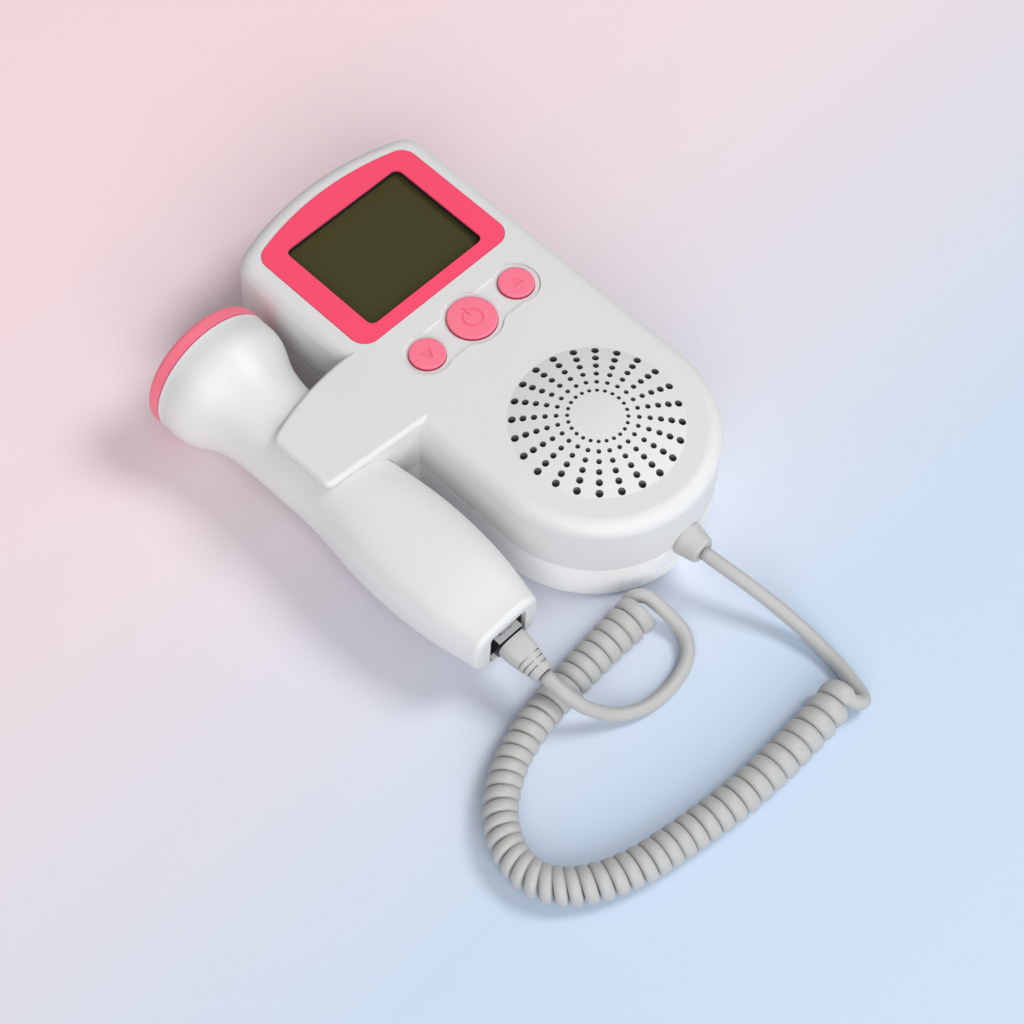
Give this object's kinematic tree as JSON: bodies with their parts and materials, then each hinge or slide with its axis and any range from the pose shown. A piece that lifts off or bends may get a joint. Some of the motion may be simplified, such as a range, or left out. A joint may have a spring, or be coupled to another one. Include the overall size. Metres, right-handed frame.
{
  "type": "fetal doppler monitor",
  "caption": "Pocket fetal doppler with display, buttons, loudspeaker grille and a side cradle that holds its corded hand probe.",
  "frame": {"origin": "on the back face of the display unit, under the centre of the loudspeaker grille; the unit lies on its back", "axes": "+Z out of the front face, +Y from the grille to the display, +X to the unit's right; the cradle and probe are on -X"},
  "size_m": [0.1255, 0.1964, 0.0368],
  "materials": {
    "white_shell": "satin moulded ABS",
    "white_probe": "satin moulded ABS",
    "pink_bezel": "printed film, satin",
    "black_mask": "matt",
    "lcd": "dark olive display, unlit",
    "backlight": "diffuser",
    "rubber_dark": "matt",
    "circuit_board": "green solder mask",
    "component_black": "epoxy packages",
    "steel": "zinc plated",
    "pink_button": "satin silicone",
    "white_plunger": "moulded",
    "speaker_black": "matt",
    "magnet": "plated",
    "cloth": "woven, black",
    "cell_wrap": "printed sleeve",
    "grey_relief": "moulded PVC",
    "grey_cord": "PVC jacket",
    "clear_plug": "clear polycarbonate",
    "gold": "gold plated",
    "socket_black": "moulded",
    "pink_ring": "satin",
    "probe_front": "smooth",
    "cup_grey": "moulded",
    "crystal": "fired ceramic",
    "damper": "cork and rubber"
  },
  "bodies": {
    "unit": {"front_shell": "white_shell", "rear_shell": "white_shell", "display_bezel": "pink_bezel", "display_mask": "black_mask", "lcd_glass": "lcd", "lcd_backlight": "backlight", "display_carrier": "black_mask", "contact_strips": "rubber_dark", "main_board": "circuit_board", "board_components": "component_black", "housing_screws": "steel", "board_screws": "steel", "tact_switches": "component_black", "speaker_gasket": "rubber_dark", "speaker_basket": "speaker_black", "speaker_magnet": "magnet", "speaker_cone": "speaker_black", "grille_cloth": "cloth", "battery_cells": "cell_wrap", "battery_plates": "steel", "battery_springs": "steel", "strain_relief": "grey_relief", "cord_unit_lead": "grey_cord", "cord_coil": "grey_cord", "cord_probe_lead": "grey_cord"},
    "probe": {"probe_upper_shell": "white_probe", "probe_lower_shell": "white_probe", "probe_cap_ring": "pink_ring", "probe_face": "probe_front", "transducer_cup": "cup_grey", "transducer_crystals": "crystal", "transducer_damper": "damper", "probe_board": "circuit_board", "probe_components": "component_black", "probe_socket": "socket_black", "probe_screws": "steel", "modular_plug": "clear_plug", "plug_contacts": "gold", "plug_boot": "grey_relief"},
    "battery_door": {"battery_door": "white_shell"},
    "power_button": {"power_button": "pink_button", "power_plunger": "white_plunger"},
    "down_button": {"down_button": "pink_button", "down_plunger": "white_plunger"},
    "up_button": {"up_button": "pink_button", "up_plunger": "white_plunger"}
  },
  "joints": [
    {"name": "power_press", "type": "slide", "parent": "unit", "child": "power_button", "axis": [0, 0, -1], "range_m": [0, 0.0005], "stiffness_N_per_m": 3000, "springref_m": -0.0002},
    {"name": "down_press", "type": "slide", "parent": "unit", "child": "down_button", "axis": [0, 0, -1], "range_m": [0, 0.0005], "stiffness_N_per_m": 3000, "springref_m": -0.0002},
    {"name": "up_press", "type": "slide", "parent": "unit", "child": "up_button", "axis": [0, 0, -1], "range_m": [0, 0.0005], "stiffness_N_per_m": 3000, "springref_m": -0.0002},
    {"name": "probe_withdraw", "type": "slide", "parent": "unit", "child": "probe", "axis": [-1, 0, 0], "range_m": [0, 0.04]},
    {"name": "battery_door_slide", "type": "slide", "parent": "unit", "child": "battery_door", "axis": [0, -1, 0], "range_m": [0, 0.004]}
  ]
}
